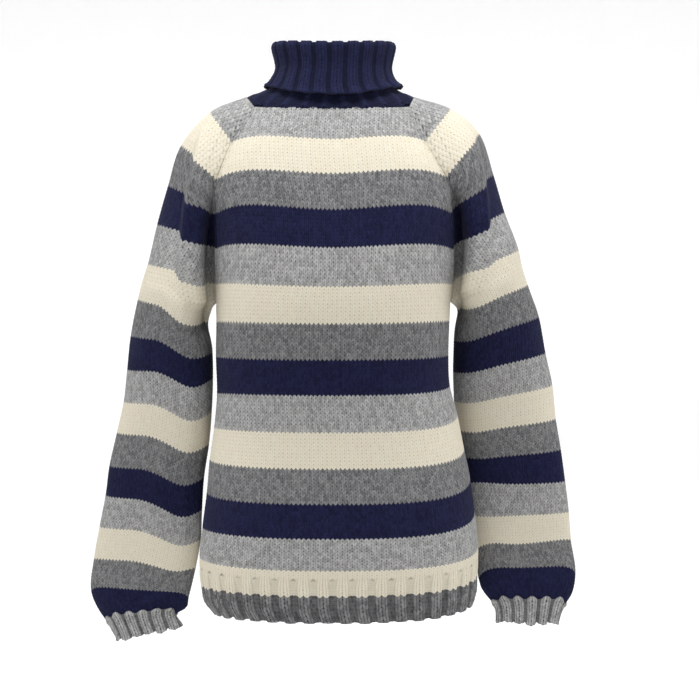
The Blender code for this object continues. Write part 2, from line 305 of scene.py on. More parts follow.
def evenly(line, trim=0.0):
    """Points spaced evenly along a line, with a little cut off both ends."""
    steps = np.linalg.norm(np.diff(line, axis=0), axis=1)
    along = np.concatenate([[0], np.cumsum(steps)])
    at = np.linspace(trim, along[-1] - trim, NET_COLUMNS + 1)
    return np.stack([np.interp(at, along, line[:, axis]) for axis in range(3)], axis=1)


def hump(part, place, width):
    """1 at a place and fading to 0 on both sides of it."""
    return np.exp(-(((part - place) / width) ** 2))


def ease(share):
    """A smooth rise from 0 to 1."""
    share = np.clip(share, 0, 1)
    return share * share * (3 - 2 * share)


# -------------------- the forms


def half_body_course(stripe, side, face):
    """Half a course of the body, from its middle to its seam on the side "right" or "left"."""
    depth, middle_z = read_row(BODY, f"{face}_y {face}_z", stripe)
    side_x, side_z = read_row(BODY, f"{side}_x {side}_z", stripe)
    if face == "back":
        side_z += read(BODY, "back_lift", stripe)
    seam = max(0.0, read(BODY, face + "_seam", stripe)) if stripe < UNDERARM else 0.0
    part = np.linspace(0, 1, DENSE + 1)
    angle = part * math.acos((seam / depth) ** (1 / ROUNDNESS))
    x = OUTWARD[side] * side_x * np.sin(angle) ** ROUNDNESS
    y = FORWARD[face] * depth * np.maximum(np.cos(angle), 0) ** ROUNDNESS
    z = middle_z + (side_z - middle_z) * part**SIDE_BEND
    if face == "front":
        z += read(BODY, "rise", stripe) * np.sin(math.pi * part**RISE_SKEW)
    return np.stack([x, y, z], axis=1)


def body_course(stripe, face):
    """A course of the front from the wearer's right to the left, or of the back from left to right."""
    right = half_body_course(stripe, "right", face)[::-1]
    left = half_body_course(stripe, "left", face)[1:]
    trim = 0 if stripe < UNDERARM else SIDE_TRIM
    course = evenly(np.concatenate([right, left]), trim)
    return course if face == "front" else course[::-1]


def line_point(rows, stripe, side):
    """A point of a sleeve's outer or inner line."""
    return read_row(rows, "x y z", stripe) * (OUTWARD[side], 1, 1)


def sleeve_seam(stripe, side, face):
    """Where half a course of a sleeve starts: beside the body's raglan edge, or at the seam under the arm."""
    if stripe >= UNDERARM:
        return line_point(SLEEVES[side].inner, stripe, side)
    seam = half_body_course(stripe, side, face)[-1]
    seam[0] += OUTWARD[side] * read(RAGLAN, "apart", stripe)
    return seam


def lay_fold(line, part, rows, stripe, forward, size):
    """Folds half a course of a sleeve, given how far along it each of its points lies."""
    place, width = read_row(rows, "place width", stripe)
    back, climb, dip, arch = size * read_row(rows, "back climb dip arch", stripe)
    drop = ease((part - place) / (2 * width) + 0.5)
    outside = np.clip((part - place) / (1 - place), 0, 1)
    crest = CREST * hump(part, place - width - CREST_INSIDE, CREST_WIDTH)
    line[:, 1] -= forward * back * (drop * (1 - outside**2) - crest)
    line[:, 2] += climb * (drop - ease(part))
    line[:, 2] -= dip * hump(part, DIP_PLACE, DIP_WIDTH)
    line[:, 2] += arch * (1 - (2 * part - 1) ** ARCH_POWER)


def half_sleeve_course(stripe, side, face):
    """Half a course of a sleeve, from its seam through the crease to its outer line, with its fold."""
    outer = SLEEVES[side].outer
    forward = FORWARD[face]
    size = 1 if face == "front" else FOLD_BEHIND
    seam = sleeve_seam(stripe, side, face)
    out, back, up = read_row(RAGLAN, f"out back {side}_up", stripe)
    foot = seam + size * np.array([OUTWARD[side] * out, -forward * back, up])
    apex = line_point(outer, stripe, side)
    level = (apex - foot) * (1, 0, 1)
    near = read(outer, "near", stripe) + size * back
    first = foot + read(outer, "lead", stripe) * level + (0, forward * near, 0)
    second = apex + (0, forward * read(outer, "far", stripe), 0)
    part = np.linspace(0, 1, 2 * DENSE + 1)
    t = part[:, None]
    line = (1 - t) ** 3 * foot + 3 * t * (1 - t) ** 2 * first + 3 * t**2 * (1 - t) * second + t**3 * apex
    lay_fold(line, part, SLEEVES[side].fold, stripe, forward, size)
    down = np.linspace(0, 1, CREASE_POINTS, endpoint=False)
    into_crease = seam + (foot - seam) * np.stack([down**2, 1 - (1 - down) ** 2, down], axis=1)
    line = np.concatenate([into_crease, line])
    for _ in range(SOFTENING):
        line[1:-1] = (line[:-2] + 2 * line[1:-1] + line[2:]) / 4
    return line


def sleeve_course(stripe, side):
    """A course of a sleeve, round its outer line so that its outside faces out."""
    front = half_sleeve_course(stripe, side, "front")
    back = half_sleeve_course(stripe, side, "back")[::-1][1:]
    trim = 0 if stripe < UNDERARM else SIDE_TRIM
    course = evenly(np.concatenate([front, back]), trim)
    return course if side == "left" else course[::-1]


def neck_loop():
    """The neck seam, from the middle of the back round by the wearer's right."""
    halves = []
    for side, first, second in (("right", "back", "front"), ("left", "front", "back")):
        halves += [half_body_course(0, side, first), half_sleeve_course(0, side, first)]
        halves += [half_sleeve_course(0, side, second)[::-1], half_body_course(0, side, second)[::-1]]
    loop = evenly(np.concatenate(halves))[:-1]
    for _ in range(NECK_ROUNDING):
        loop = (np.roll(loop, 1, axis=0) + 2 * loop + np.roll(loop, -1, axis=0)) / 4
    loop = loop * (NECK_SPREAD, NECK_SPREAD, 1)
    loop[:, 2] -= NECK_LAP * np.abs(loop[:, 1]) / np.abs(loop[:, 1]).max()
    return np.concatenate([loop, loop[:1]])


def collar_ring(step):
    """One ring of the roll neck, from the middle of the back round by the wearer's right."""
    size = {name: read(COLLAR, name, step, "step") for name in COLLAR}
    angle = np.linspace(0, 2 * math.pi, 4 * DENSE + 1)
    across, along = np.sin(angle), np.cos(angle)
    x = -across * np.where(across > 0, size["right_x"], size["left_x"])
    y = along * np.where(along > 0, size["back_y"], size["front_y"])
    z = size["side_z"] + along**2 * (np.where(along > 0, size["back_z"], size["front_z"]) - size["side_z"])
    return evenly(np.stack([x, y, z], axis=1))


class Form:
    """The middle surface of a piece of cloth, read by course and by share of the way across."""

    def __init__(self, lines, first, last, ring=False):
        points = np.array(lines) * MM
        self.first, self.last, self.ring = first, last, ring
        down = np.gradient(points, axis=0)
        across = np.gradient(points, axis=1)
        if ring:  # the two ends are one place
            across[:, [0, -1]] = (points[:, 1] - points[:, -2])[:, None] / 2
        out = np.cross(down, across)
        self.net = np.concatenate([points, out / np.linalg.norm(out, axis=2, keepdims=True)], axis=2)

    def at(self, course, share):
        """Points and outward directions."""
        net = self.net
        rows, columns = net.shape[:2]
        i = np.clip((course - self.first) / (self.last - self.first), 0, 1) * (rows - 1)
        j = (share % 1.0 if self.ring else np.clip(share, 0, 1)) * (columns - 1)
        i0 = np.minimum(i.astype(int), rows - 2)
        j0 = np.minimum(j.astype(int), columns - 2)
        s, t = (i - i0)[:, None], (j - j0)[:, None]
        upper = net[i0, j0] * (1 - t) + net[i0, j0 + 1] * t
        lower = net[i0 + 1, j0] * (1 - t) + net[i0 + 1, j0 + 1] * t
        points, out = np.split(upper * (1 - s) + lower * s, 2, axis=1)
        return points, out / np.linalg.norm(out, axis=1, keepdims=True)


def form_of(line, first, last, *facts):
    """The form through the lines from one stripe to another, one for each course."""
    stripes = np.linspace(first, last, round((last - first) * STRIPE) + 1)
    return Form([line(stripe, *facts) for stripe in stripes], first * STRIPE, last * STRIPE)


def collar_form():
    """The roll neck's form, with its courses spaced evenly down both layers."""
    steps = np.linspace(0, COLLAR["step"][-1], COLLAR_RINGS)
    rings = np.array([neck_loop()] + [collar_ring(step) for step in steps])
    gaps = np.linalg.norm(np.diff(rings, axis=0), axis=2).mean(axis=1)
    along = np.concatenate([[0], np.cumsum(gaps)])
    courses = round(along[-1] / COURSE)
    at = np.linspace(0, along[-1], COLLAR_LINES * courses + 1)
    flat = rings.reshape(len(rings), -1)
    spaced = np.stack([np.interp(at, along, column) for column in flat.T], axis=1)
    return Form(spaced.reshape(len(at), -1, 3), 0, courses, ring=True), courses


# -------------------- knitting

POINTS_ACROSS = 4  # for each stitch
POINTS_DOWN = 2  # for each course
SAME_PLACE = 1e-3  # stitches within which two points of a flat piece are one
SAME_POINT = 2e-6  # metres within which the two ends of a tube's course are one
SMOOTH_BELOW = math.radians(75)  # angle past which an edge between two faces stays sharp
NO_HOLES = 9.0  # a distance at which no hole shows

LEAN = 0.64  # courses by which the two legs of a stitch lean to its middle
PURL_LEAN = 0.3  # how far the purl stitches lean the other way, as a share of that
LOOP = 0.28  # how far a stitch stands out of the cloth
FLAT_LEG = 0.35  # share of that which a leg keeps between two courses
BAR = 1.1  # how far a purl bar stands out, as a share of a plain stitch
BAR_BACK = 0.2  # how far the cloth between two bars lies back
GROOVE = 0.12  # how deep the line between two columns of stitches lies
GROOVE_POWER = 8  # the higher, the narrower
PURL_START = 0.85  # how wide the purl columns of a rib are
PURL_EDGE = 2.2  # how steep their edges are
PURL_RISE = 0.25  # courses by which a change of colour stands higher on the purl columns
PLAIN_SHARE = 0.45  # how far a rib's plain columns rise, as a share of how far its purl ones sink
EDGE_ROLL = 0.6  # how far the cloth turns in at a sewn edge
EDGE_STITCHES = 0.8  # how many stitches of it do
CAST_ON = 0.7  # how far the cast-on edge stands out
CAST_ON_PLACE = 0.4  # courses in from the end
CAST_ON_WIDTH = 0.5
END_COURSES = 1.2  # courses at a piece's ends over which its stitches stop leaning
LAP_COURSES = 1.5  # courses over which a rib laps the piece above
LAP_LIFT = 0.8  # how far it stands out there
FLARE_COURSES = 5  # courses over which a rib opens to its edge
SCALLOP_COURSES = 1.5  # courses over which the edge's waves start
RIB_WAVE = 0.5  # the parts of those waves: one for the rib's columns
STITCH_WAVE = 0.25  # one for each stitch
UNEVEN_WAVES = ((1.13, 1.9, 0.45), (0.41, 0.0, 0.35))  # and two loose ones: rate, start and size
PICKED_UP = 0.5  # courses by which the roll neck's first stitches rise between the picked-up loops
UNEVEN_LOOPS = 0.6  # how much that varies
UNEVEN_RATE = 1.7  # and how quickly from stitch to stitch
NECK_RIDGE = 1.2  # how far those first stitches stand out
NECK_RIDGE_COURSES = 2


def rib_wave(u):
    """A rib of two plain and two purl: 1 in the middle of the plain columns, -1 in that of the purl ones."""
    return np.cos(math.pi * (u - 1) / 2)


def purl_columns(u):
    """1 on the purl columns of the rib and 0 on the plain ones."""
    return ease(PURL_START - PURL_EDGE * rib_wave(u))


def relief(u, v, purl):
    """How far the stitches stand out of the cloth: two legs on the plain columns, a bar on the purl ones."""
    within_u, within_v = u - np.floor(u), v - np.floor(v)
    leg = np.abs(np.sin(2 * math.pi * within_u))
    crest = 0.5 - 0.5 * np.cos(2 * math.pi * within_v)
    between = np.cos(math.pi * within_u) ** GROOVE_POWER
    plain = LOOP * (leg * (FLAT_LEG + (1 - FLAT_LEG) * crest) + FLAT_LEG * (crest - 1)) - GROOVE * between
    bar = LOOP * (BAR * np.sin(2 * math.pi * within_v) ** 2 - BAR_BACK)
    return plain * (1 - purl) + bar * purl


# How far apart a rib's plain and purl columns stand, how many stitches the plain ones spread over the purl
# ones, over how many courses it starts, how many it rises over the piece above, how much deeper it is at its
# edge and how wavy that edge is.
Ribbing = namedtuple("Ribbing", "depth gather grows lap flare scallop", defaults=(0.3, 0.6, 0.0, 0.0, 0.0))
PLAIN = Ribbing(0.0)


class Knitting:
    """How a piece is knitted: how many stitches wide it is by course, and what its rib and edges do.

    Widths are pairs of a course and half the stitches there. Holes are rows of them: how many stitches in
    from the edge, and between which courses. Joined says on which side the next piece goes on in the same
    stitches.
    """

    def __init__(self, widths, first, last, holes=(), joined="", ribbing=PLAIN):
        self.courses, self.half_widths = np.array(widths, float).T
        self.first, self.last, self.holes, self.joined = first, last, holes, joined
        self.ribbing = ribbing

    def half_width(self, course):
        """Half the stitches at a course."""
        return np.interp(course, self.courses, self.half_widths)

    def stitches(self):
        """How many stitches the whole piece has, from its width at every half course."""
        half_courses = np.arange(self.first, self.last, 0.5) + 0.25
        return self.half_width(half_courses).sum()

    def flat(self):
        """The piece as it lies flat, in stitches across and courses down, with its wrong side at z = -1."""
        wide = int(math.ceil(self.half_widths.max()))
        tall = self.last - self.first
        shape = bmesh.new()
        columns, rows = 2 * wide * POINTS_ACROSS, round(tall * POINTS_DOWN)
        bmesh.ops.create_grid(shape, x_segments=columns, y_segments=rows, size=0.5)
        bmesh.ops.scale(shape, verts=shape.verts[:], vec=(2 * wide, tall, 1))
        bmesh.ops.translate(shape, verts=shape.verts[:], vec=(0, -(self.first + tall / 2), 0))
        for i in range(len(self.courses) - 1):
            if min(self.half_widths[i : i + 2]) == wide:
                continue
            upper = Vector((self.half_widths[i], -self.courses[i], 0))
            lower = Vector((self.half_widths[i + 1], -self.courses[i + 1], 0))
            for side in (-1, 1):
                start, end = (Vector((side * corner.x, corner.y, 0)) for corner in (upper, lower))
                away = (end - start).cross(Vector((0, 0, 1))) * -side
                bmesh.ops.bisect_plane(
                    shape,
                    geom=shape.verts[:] + shape.edges[:] + shape.faces[:],
                    dist=SAME_PLACE,
                    plane_co=start,
                    plane_no=away,
                    clear_outer=True,
                )
        turned = bmesh.ops.extrude_face_region(shape, geom=shape.faces[:], use_keep_orig=True)
        wrong_side = [item for item in turned["geom"] if isinstance(item, bmesh.types.BMVert)]
        bmesh.ops.translate(shape, verts=wrong_side, vec=(0, 0, -1))
        return shape

    def join_small(self, shape):
        """Makes the wrong side's small faces one for each stitch, away from the outline."""
        lost = []
        for edge in shape.edges:
            a, b = edge.verts[0].co, edge.verts[1].co
            on_wrong_side = a.z < -0.5 and b.z < -0.5
            if not on_wrong_side or any(abs(face.normal.z) < 0.5 for face in edge.link_faces):
                continue
            upright, level = abs(a.x - b.x) < SAME_PLACE, abs(a.y - b.y) < SAME_PLACE
            place = a.x if upright else a.y
            between_stitches = abs(place - round(place)) < SAME_PLACE
            if not between_stitches or not (upright or level):
                lost.append(edge)
        bmesh.ops.dissolve_edges(shape, edges=lost, use_verts=True)

    def knit(self, name, form):
        """The piece, hung on its form."""
        shape = self.flat()
        bmesh.ops.recalc_face_normals(shape, faces=shape.faces[:])
        self.join_small(shape)
        if form.ring:
            self.open_ends(shape)
        bmesh.ops.triangulate(shape, faces=[f for f in shape.faces if len(f.verts) > 4])
        mesh = bpy.data.meshes.new(name)
        shape.to_mesh(mesh)
        shape.free()
        flat = every(mesh.vertices, "co", 3, np.float64).reshape(-1, 3)
        self.mark(mesh, flat)
        placed = self.place(form, flat[:, 0], -flat[:, 1], flat[:, 2] < -0.5)
        mesh.vertices.foreach_set("co", placed.ravel())
        if form.ring:
            close_tube(mesh)
        mesh.shade_smooth()
        mesh.set_sharp_from_angle(angle=SMOOTH_BELOW)
        mesh.update()
        return put(name, mesh)

    def open_ends(self, shape):
        """Takes off the faces at the two ends of a tube's courses, which meet."""
        edge = self.half_widths.max() - SAME_PLACE
        ends = []
        for face in shape.faces:
            if abs(face.normal.x) > 0.5 and abs(face.calc_center_median().x) > edge:
                ends.append(face)
        bmesh.ops.delete(shape, geom=ends, context="FACES_ONLY")

    def mark(self, mesh, flat):
        """Keeps each point's stitch and course, and how near it is to a line of holes, as its two UV maps.

        The wrong side gets its own material.
        """
        corners = every(mesh.loops, "vertex_index")
        u, v = flat[corners, 0], -flat[corners, 1]
        nearest = np.full(len(u), NO_HOLES)
        for distance, upper, lower in self.holes:
            from_line = np.abs(self.half_width(v) - np.abs(u) - distance)
            nearest = np.minimum(nearest, np.where((v > upper) & (v < lower), from_line, NO_HOLES))
        for name, first in (("stitches", u), ("seam", nearest)):
            layer = mesh.uv_layers.new(name=name)
            layer.data.foreach_set("uv", np.stack([first, v], axis=1).ravel())
        starts, totals = every(mesh.polygons, "loop_start"), every(mesh.polygons, "loop_total")
        heights = np.add.reduceat(flat[corners, 2], starts) / totals
        mesh.polygons.foreach_set("material_index", (heights < -0.9).astype(np.int32))

    def place(self, form, u, v, wrong_side):
        """Where points of the flat piece lie, with the stitches' relief on the right side."""
        ribbing = self.ribbing
        half = self.half_width(v)
        from_side = half - np.abs(u)
        grown = ease((v - self.first) / ribbing.grows) if ribbing.depth else np.zeros_like(u)
        purl = purl_columns(u) * grown
        plainness = 0.5 + 0.5 * rib_wave(u)
        top = 1 - ease((v - self.first) / LAP_COURSES)
        course = v + self.lean(u, v, purl) - ribbing.lap * plainness * top
        gather = ribbing.gather * np.sin(math.pi * (u - 1) / 2) * grown
        lift = relief(u, v, purl)
        if ribbing.depth:
            lift = lift + CAST_ON * hump(v, self.last - CAST_ON_PLACE, CAST_ON_WIDTH)
        if form.ring:
            between_loops = 0.5 - 0.5 * np.cos(2 * math.pi * u)
            between_loops = between_loops * (1 + UNEVEN_LOOPS * np.sin(UNEVEN_RATE * u))
            course = course + PICKED_UP * between_loops * np.clip(1 - v, 0, 1)
            lift = lift + NECK_RIDGE * np.clip(NECK_RIDGE_COURSES - v, 0, 1)
        else:
            gather = gather * np.clip(from_side, 0, 1)
            lift = lift - EDGE_ROLL * np.clip(1 - from_side / EDGE_STITCHES, 0, 1) ** 2
        points, out = form.at(course, (u + gather + half) / (2 * half))
        flare = 1 + ribbing.flare * ease((v - self.last + FLARE_COURSES) / FLARE_COURSES)
        rib = ribbing.depth * flare * (PLAIN_SHARE * grown - purl)
        rib = rib + ribbing.lap * (LAP_LIFT + plainness) * top
        height = np.where(wrong_side, -WALL / 2, WALL / 2 + lift) + rib
        points = points + out * (height * MM)[:, None]
        near_edge = np.clip((v - self.last + SCALLOP_COURSES) / SCALLOP_COURSES, 0, 1)
        points[:, 2] -= ribbing.scallop * near_edge * self.edge_wave(u, form.ring) * MM
        return points

    def lean(self, u, v, purl):
        """How many courses the two legs of a stitch lean to its middle, and a rib's purl columns rise."""
        within_u = u - np.floor(u)
        lean = LEAN * (0.5 - np.abs(2 * within_u - 1)) * (1 - (1 + PURL_LEAN) * purl) - PURL_RISE * purl
        from_top = NO_HOLES if self.joined == "above" else v - self.first
        from_bottom = NO_HOLES if self.joined == "below" else self.last - v
        return lean * np.clip(np.minimum(from_top, from_bottom) / END_COURSES, 0, 1)

    def edge_wave(self, u, ring):
        """The waves of a rib's edge, from its columns, its stitches and the unevenness of hand knitting."""
        wave = RIB_WAVE * rib_wave(u) + STITCH_WAVE * np.cos(2 * math.pi * u)
        wide = self.half_widths.max()
        for rate, start, size in UNEVEN_WAVES:
            if ring:  # whole waves, so that the edge closes
                rate = round(rate * wide / math.pi) * math.pi / wide
            wave = wave + size * np.sin(rate * u + start)
        return wave


def every(items, name, size=1, kind=np.int32):
    """A value of every item of a mesh."""
    values = np.empty(len(items) * size, kind)
    items.foreach_get(name, values)
    return values


def close_tube(mesh):
    """Makes the two ends of a tube's courses one."""
    shape = bmesh.new()
    shape.from_mesh(mesh)
    bmesh.ops.remove_doubles(shape, verts=shape.verts[:], dist=SAME_POINT)
    shape.to_mesh(mesh)
    shape.free()


# -------------------- the wools

# How a stitch is shaded, with the shade painted into its gaps and valleys. Lengths are stitches across and
# courses down; a range is where a part starts and where it is whole.
PURL_RANGE = (0.35, -0.1)  # on the rib's wave, which is 1 on the plain columns and -1 on the purl ones
DEEP_PURL_RANGE = (-0.4, -0.95)
LEG_POWER = 3.0  # the higher, the narrower the line beside each leg
END_POWER = 4.0  # the higher, the narrower the ends of a purl bar
END_DROP = 0.6  # how low those ends lie
UPRIGHT_LINES = (0.2, 0.6)  # painted shade: how dark the lines between two legs are, plain and in a rib
LEVEL_LINES = (0.2, 0.08)  # painted shade: the same between two courses
LEG_HOLES = 0.6  # painted shade: how dark the hole between a stitch's own legs is
LOOSE_SCALE, LOOSE_RANGE = 0.7, (0.3, 0.7)  # how the cloth turns from tight to loose
LOOSE_HOLES = (0.2, 1.4)  # painted shade: how dark the holes are in tight and in loose cloth
BAR_SHADE = 0.6  # painted shade: how dark it is between two purl bars
BAR_RANGE = (0.0, 0.7)  # heights of a bar over which that ends
FIRST_PURL = 1.1  # painted shadow: how dark the spots over a rib's first purl stitches are
FIRST_PURL_STARTS, FIRST_PURL_ENDS = (0.2, 0.8), (0.8, 1.7)
HOLE_RANGE = (0.4, 0.08)  # stitches from a line of holes
HOLE_HEIGHT_RANGE = (0.5, 0.2)  # courses from the middle of a hole
# how dark the shade painted into the holes of the shaping is, and how deep they lie in the bump
HOLE_SHADE, HOLE_DEPTH = 0.8, 0.4
FIBRE_STRETCH, FIBRE_SCALE = (1.3, 5.0), 2.6
FIBRE_JUMP = (9.0, 5.0)  # how far the fibres' pattern jumps from leg to leg
YARN_STRETCH = (0.9, 3.7)
YARN_TONE, FIBRE_TONE, LEG_TONE = 0.5, 1.5, 0.3  # how much yarn, fibre and leg tell in the mixed wool
HAIR_RANGE = (0.8, 1.5)  # sum of those over which the other hairs show
CLOUD_SCALE, CLOUDS = 0.16, 0.2  # broad changes of the mixture
PLY_TURNS = (3.2, 1.6)  # how often the plies turn across and along a leg
PLY_HEIGHT, FIBRE_HEIGHT = 0.05, 0.28


class Wiring:
    """Short names for adding nodes to a tree."""

    def __init__(self, tree):
        self.tree = tree

    def add(self, kind, inputs=(), **settings):
        """A node, with its inputs linked or set."""
        node = self.tree.nodes.new("ShaderNode" + kind)
        for name, value in settings.items():
            setattr(node, name, value)
        for key, value in dict(inputs).items():
            self.feed(node.inputs[key], value)
        return node

    def feed(self, socket, value):
        if isinstance(value, bpy.types.NodeSocket):
            self.tree.links.new(value, socket)
        else:
            socket.default_value = value

    def math(self, operation, *values):
        return self.add("Math", dict(enumerate(values)), operation=operation).outputs[0]

    def times(self, first, *others):
        """All the values multiplied."""
        for other in others:
            first = self.math("MULTIPLY", first, other)
        return first

    def rest(self, value):
        """What is left of 1."""
        return self.math("SUBTRACT", 1.0, value)

    def from_half(self, value):
        """How far a number between 0 and 1 is from a half: 0 there and 1 at both ends."""
        return self.math("ABSOLUTE", self.math("MULTIPLY_ADD", value, 2.0, -1.0))

    def round_top(self, value):
        """A round profile: 1 where the value is 0, and 0 where it is 1."""
        return self.math("SQRT", self.math("MAXIMUM", self.rest(self.math("POWER", value, 2.0)), 0.0))

    def rise(self, value, bounds, ends=(0.0, 1.0)):
        """The value's place between two bounds, as a smooth number between two ends."""
        node = self.add("MapRange", {"Value": value}, interpolation_type="SMOOTHSTEP")
        for key, number in zip(("From Min", "From Max", "To Min", "To Max"), (*bounds, *ends)):
            node.inputs[key].default_value = number
        return node.outputs[0]

    def mix(self, share, one, other):
        """A number between two, by the share of the other."""
        return self.add("Mix", {0: share, 2: one, 3: other}, data_type="FLOAT").outputs[0]

    def parts(self, vector):
        return self.add("SeparateXYZ", {0: vector}).outputs

    def pair(self, x, y):
        """A vector of two numbers."""
        return self.add("CombineXYZ", {0: x, 1: y}).outputs[0]

    def noise(self, vector, scale, detail=2.0, roughness=0.5):
        inputs = {"Vector": vector, "Scale": scale, "Detail": detail, "Roughness": roughness}
        return self.add("TexNoise", inputs, noise_dimensions="2D").outputs[0]

    def steps(self, value, stops):
        """A colour for each range of the value."""
        node = self.add("ValToRGB", {"Fac": value})
        ramp = node.color_ramp
        ramp.interpolation = "CONSTANT"
        for i, (at, colour) in enumerate(stops):
            element = ramp.elements[i] if i < 2 else ramp.elements.new(at)
            element.position = at
            element.color = (*colour, 1)
        return node.outputs[0]


def group(name, inputs, outputs):
    """An empty node group with named inputs and outputs."""
    tree = bpy.data.node_groups.new(name, "ShaderNodeTree")
    for socket, kind in inputs.items():
        tree.interface.new_socket(socket, in_out="INPUT", socket_type=kind)
    for socket, kind in outputs.items():
        tree.interface.new_socket(socket, in_out="OUTPUT", socket_type=kind)
    return tree, tree.nodes.new("NodeGroupInput").outputs, tree.nodes.new("NodeGroupOutput").inputs


def stitch_group():
    """Where a point lies in its stitch, as the stitch's shape, the shade painted into its gaps and its mixed
    fibres.
    """
    numbers, vectors = "NodeSocketFloat", "NodeSocketVector"
    tree, given, result = group(
        "knitted stitch",
        {"Stitches": vectors, "Seam": vectors, "Rib": numbers, "Rib Start": numbers, "Wrong Side": numbers},
        {"Height": numbers, "Gap": numbers, "Heather": numbers, "Valley": numbers},
    )
    w = Wiring(tree)
    rib = given["Rib"]
    u, v = w.parts(given["Stitches"])[:2]
    in_v = w.math("FRACT", v)
    from_middle = w.from_half(w.math("FRACT", u))
    column = w.math("COSINE", w.math("MULTIPLY", w.math("SUBTRACT", u, 1.0), math.pi / 2))
    rib_purl = w.times(w.rise(column, PURL_RANGE), rib)
    purl = w.math("ABSOLUTE", w.math("SUBTRACT", rib_purl, given["Wrong Side"]))

    # the shape: two legs on the plain side, a bar on the purl side
    tube = w.round_top(w.from_half(in_v))
    beside = w.math("POWER", w.from_half(from_middle), LEG_POWER)
    plain = w.times(tube, w.rest(beside))
    bar = w.round_top(w.from_half(w.math("FRACT", w.math("ADD", v, 0.5))))
    near_end = w.math("POWER", from_middle, END_POWER)
    purled = w.times(bar, w.rest(w.times(near_end, END_DROP)))
    shape = w.mix(purl, plain, purled)

    # painted shade: lines and holes between the legs, between the bars, and a spot where each rib starts
    above = w.rest(tube)
    upright = w.times(beside, w.mix(rib, *UPRIGHT_LINES))
    level = w.times(above, w.mix(rib, *LEVEL_LINES))
    loose = w.rise(w.noise(given["Stitches"], LOOSE_SCALE, roughness=0.6), LOOSE_RANGE, LOOSE_HOLES)
    holes = w.times(above, w.math("ADD", near_end, w.times(beside, LEG_HOLES)), loose)
    plain_painted_shade = w.math("ADD", w.math("ADD", upright, level), holes)
    painted_gap_shade = w.mix(purl, plain_painted_shade, w.rise(purled, BAR_RANGE, (BAR_SHADE, 0.0)))
    # a painted shadow spot over each purl column where a rib starts
    into_rib = w.math("SUBTRACT", v, given["Rib Start"])
    first_purl = w.times(w.rise(into_rib, FIRST_PURL_STARTS), w.rise(into_rib, FIRST_PURL_ENDS, (1.0, 0.0)))
    painted_purl_shadow = w.times(w.rise(column, DEEP_PURL_RANGE), loose, rib_purl)
    painted_gap_shade = w.math("MULTIPLY_ADD", w.times(first_purl, painted_purl_shadow), FIRST_PURL, painted_gap_shade)

    # the holes of the shaping, in every other course beside the raglan seams
    from_line = w.parts(given["Seam"])[0]
    from_hole = w.from_half(w.math("FRACT", w.times(v, 0.5)))
    hole = w.times(w.rise(from_line, HOLE_RANGE), w.rise(from_hole, HOLE_HEIGHT_RANGE))

    # the wool: yarn that changes along its length, the fibres in it and its plies
    row = w.math("FLOOR", v)
    leg_place = w.pair(w.math("FLOOR", w.times(u, 2.0)), row)
    leg = w.add("TexWhiteNoise", {"Vector": leg_place}, noise_dimensions="2D").outputs[0]
    yarn = w.noise(w.pair(w.times(u, YARN_STRETCH[0]), w.times(row, YARN_STRETCH[1])), 1.0)
    along = w.math("MULTIPLY_ADD", u, FIBRE_STRETCH[0], w.times(leg, FIBRE_JUMP[0]))
    across = w.math("MULTIPLY_ADD", v, FIBRE_STRETCH[1], w.times(leg, FIBRE_JUMP[1]))
    fibre = w.noise(w.pair(along, across), FIBRE_SCALE, detail=4.0, roughness=0.7)
    fibre_tone = w.math("MULTIPLY_ADD", fibre, FIBRE_TONE, w.times(leg, LEG_TONE))
    spun = w.math("MULTIPLY_ADD", yarn, YARN_TONE, fibre_tone)
    cloud = w.math("SUBTRACT", w.noise(given["Stitches"], CLOUD_SCALE), 0.5)
    turn = w.math("MULTIPLY_ADD", in_v, PLY_TURNS[1], w.times(from_middle, PLY_TURNS[0]))
    ply = w.math("SINE", w.times(turn, 2 * math.pi))
    surface = w.math("MULTIPLY_ADD", ply, PLY_HEIGHT, w.times(fibre, FIBRE_HEIGHT))

    outputs = {
        "Height": w.math("SUBTRACT", w.math("ADD", shape, surface), w.times(hole, HOLE_DEPTH)),
        # painted shade in the gaps, and in the holes of the shaping
        "Gap": w.math("MAXIMUM", painted_gap_shade, w.times(hole, HOLE_SHADE)),
        "Heather": w.math("MULTIPLY_ADD", cloud, CLOUDS, w.rise(spun, HAIR_RANGE)),
        # painted shade on the purl columns of a rib, as in a valley
        "Valley": w.times(purl, rib),
    }
    for name, socket in outputs.items():
        w.feed(result[name], socket)
    return tree


# Each wool: its colour, that of the other hairs in it, how much those show, how dark the shade painted into
# its gaps is, and how dark the shade painted into the valleys of a rib is.
Wool = namedtuple("Wool", "colour hairs showing gaps valleys")
LIGHT_GREY = Wool((0.4, 0.4, 0.394), (0.08, 0.08, 0.08), 0.7, 0.95, 0.5)
CREAM = Wool((0.59, 0.555, 0.462), (0.52, 0.43, 0.30), 0.35, 0.42, 0.08)
DARK_GREY = Wool((0.077, 0.077, 0.081), (0.39, 0.39, 0.39), 0.49, 0.9, 0.42)
NAVY = Wool((0.0055, 0.006, 0.0215), (0.022, 0.026, 0.082), 0.5, 0.65, 0.45)
# the same navy as the stripes, painted lighter to brighten the shaded roll neck
NECK_NAVY_PAINTED_LIGHTER = Wool((0.0088, 0.0098, 0.0295), (0.020, 0.025, 0.074), 0.42, 0.6, 0.45)

# Each knitting's wools, with the course at which each starts.
ROUND = 4.0 * STRIPE  # courses after which they come again
STRIPES = [(i * STRIPE, one) for i, one in enumerate((LIGHT_GREY, CREAM, DARK_GREY, NAVY))]
HEM_WOOLS = [(0, CREAM), (2 * STRIPE, DARK_GREY)]

SHEEN = 0.025
SHEEN_ROUGHNESS = 0.5
ROUGHNESS = 0.92
GLOSS = 0.06
BUMP = 0.35 * MM
BUMP_STRENGTH = 0.8

knitted_stitch = stitch_group()


